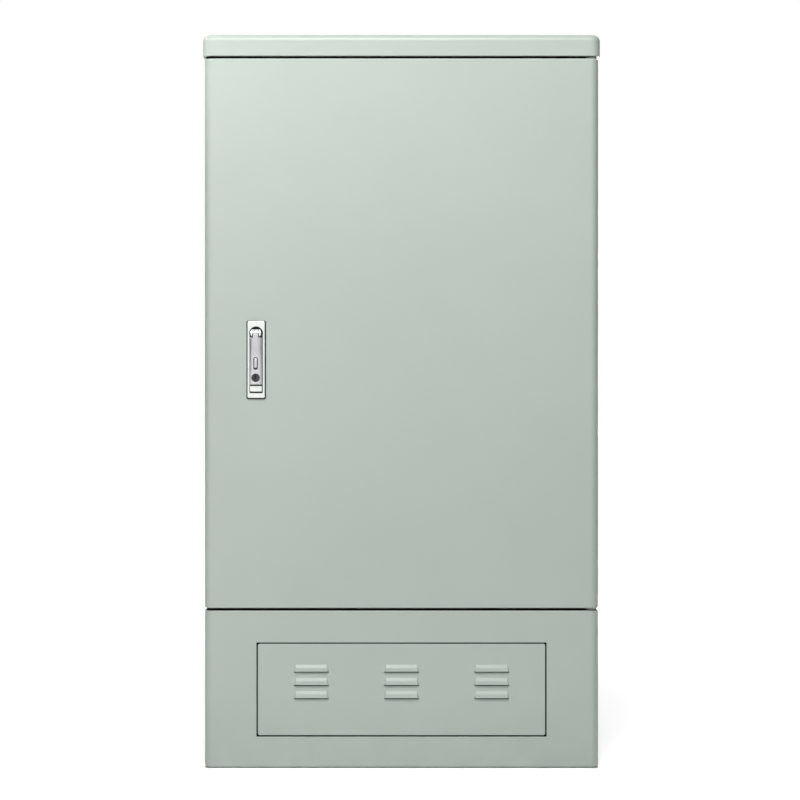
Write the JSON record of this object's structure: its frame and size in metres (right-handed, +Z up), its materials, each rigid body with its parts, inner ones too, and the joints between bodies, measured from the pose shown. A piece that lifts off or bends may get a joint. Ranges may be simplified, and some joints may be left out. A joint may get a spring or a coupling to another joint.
{
  "type": "fiber distribution cabinet",
  "caption": "Floor-standing moulded outdoor cabinet with a lockable full-height door, louvred plinth and fibre patching equipment inside",
  "frame": {"origin": "centre of the four anchor holes, on the ground", "axes": "+Z up, -Y to the front (door side), +X to the right seen from the front"},
  "size_m": [0.575, 0.325, 1.06],
  "materials": {
    "cabinet_moulding": "grey-green moulded composite with a fine satin texture",
    "lock_chrome": "satin plated zinc casting",
    "handle_metal": "satin plated zinc casting, slightly darker",
    "key_steel": "dark worn steel",
    "galvanised_steel": "zinc-plated sheet steel",
    "fastener_steel": "zinc-plated fasteners",
    "black_rubber": "matt black rubber",
    "module_grey": "light grey powder coat",
    "adapter_blue": "blue moulded plastic",
    "cap_white": "milky plastic",
    "spool_plastic": "ivory moulded plastic",
    "black_plastic": "black moulded plastic",
    "pocket_plastic": "grey moulded plastic",
    "earth_brass": "bare brass bar",
    "insulator_red": "red moulded insulator",
    "bush_nylon": "natural nylon"
  },
  "bodies": {
    "cabinet": {"base_bolts": "fastener_steel", "cable_clamp_bar": "galvanised_steel", "cable_clamps": "black_plastic", "cable_entry_plugs": "black_rubber", "cap_bolts": "fastener_steel", "door_gasket": "black_rubber", "dust_caps": "cap_white", "earth_bar": "earth_brass", "earth_bolts": "fastener_steel", "earth_insulators": "insulator_red", "equipment_screws": "fastener_steel", "fibre_adapters": "adapter_blue", "fibre_rings": "black_plastic", "floor_plate": "galvanised_steel", "front_frame": "cabinet_moulding", "hinge_bolts": "fastener_steel", "left_side_panel": "cabinet_moulding", "left_upright": "galvanised_steel", "lower_hinge_pintle": "galvanised_steel", "patch_module_1": "module_grey", "patch_module_2": "module_grey", "patch_module_3": "module_grey", "patch_module_4": "module_grey", "patch_module_5": "module_grey", "patch_module_6": "module_grey", "plinth": "cabinet_moulding", "rack_bolts": "fastener_steel", "rear_bolts": "fastener_steel", "rear_panel": "cabinet_moulding", "right_side_panel": "cabinet_moulding", "right_upright": "galvanised_steel", "roof_panel": "cabinet_moulding", "splice_box": "module_grey", "splice_box_cover": "module_grey", "spool_panel": "galvanised_steel", "spool_screws": "fastener_steel", "storage_spools": "spool_plastic", "top_cap": "cabinet_moulding", "upper_hinge_pintle": "galvanised_steel"},
    "door": {"door_shell": "cabinet_moulding", "hinge_bushes": "bush_nylon", "document_pocket": "pocket_plastic", "lock_plate": "lock_chrome", "lock_seal": "black_rubber", "lock_clamp_plate": "galvanised_steel", "lock_screws": "fastener_steel", "rod_guides": "galvanised_steel"},
    "spindle": {"lock_spindle": "lock_chrome", "handle_pin": "fastener_steel", "lock_cam": "galvanised_steel", "cam_nut": "fastener_steel", "cam_pins": "fastener_steel"},
    "handle": {"lock_handle": "handle_metal"},
    "key_cylinder": {"lock_cylinder": "key_steel"},
    "button": {"release_button": "lock_chrome"},
    "upper_rod": {"upper_lock_rod": "galvanised_steel"},
    "lower_rod": {"lower_lock_rod": "galvanised_steel"},
    "vent_panel": {"access_panel": "cabinet_moulding", "access_panel_clips": "galvanised_steel"}
  },
  "joints": [
    {"name": "door_swing", "type": "hinge", "parent": "cabinet", "child": "door", "pos_m": [0.275, -0.142, 0.6], "axis": [0, 0, 1], "range_deg": [0, 120]},
    {"name": "handle_swing", "type": "hinge", "parent": "door", "child": "spindle", "pos_m": [-0.2097, -0.15, 0.628], "axis": [0, -1, 0], "range_deg": [0, 90]},
    {"name": "handle_lift", "type": "hinge", "parent": "spindle", "child": "handle", "pos_m": [-0.2097, -0.1633, 0.628], "axis": [-1, 0, 0], "range_deg": [0, 40]},
    {"name": "key_turn", "type": "hinge", "parent": "handle", "child": "key_cylinder", "pos_m": [-0.2097, -0.1633, 0.5636], "axis": [0, -1, 0], "range_deg": [-90, 0]},
    {"name": "button_press", "type": "slide", "parent": "door", "child": "button", "axis": [0, 1, 0], "range_m": [0, 0.003], "stiffness_N_per_m": 300},
    {"name": "upper_rod_turn", "type": "hinge", "parent": "spindle", "child": "upper_rod", "pos_m": [-0.2097, -0.107, 0.646], "axis": [0, -1, 0], "range_deg": [-95, 0]},
    {"name": "lower_rod_turn", "type": "hinge", "parent": "spindle", "child": "lower_rod", "pos_m": [-0.2097, -0.107, 0.61], "axis": [0, -1, 0], "range_deg": [-95, 0]},
    {"name": "vent_panel_pull", "type": "slide", "parent": "cabinet", "child": "vent_panel", "axis": [0, -1, 0], "range_m": [0, 0.05]}
  ],
  "couplings": [
    {"joint": "upper_rod_turn", "follows": "handle_swing", "ratio": -1.0406},
    {"joint": "lower_rod_turn", "follows": "handle_swing", "ratio": -1.0406}
  ]
}
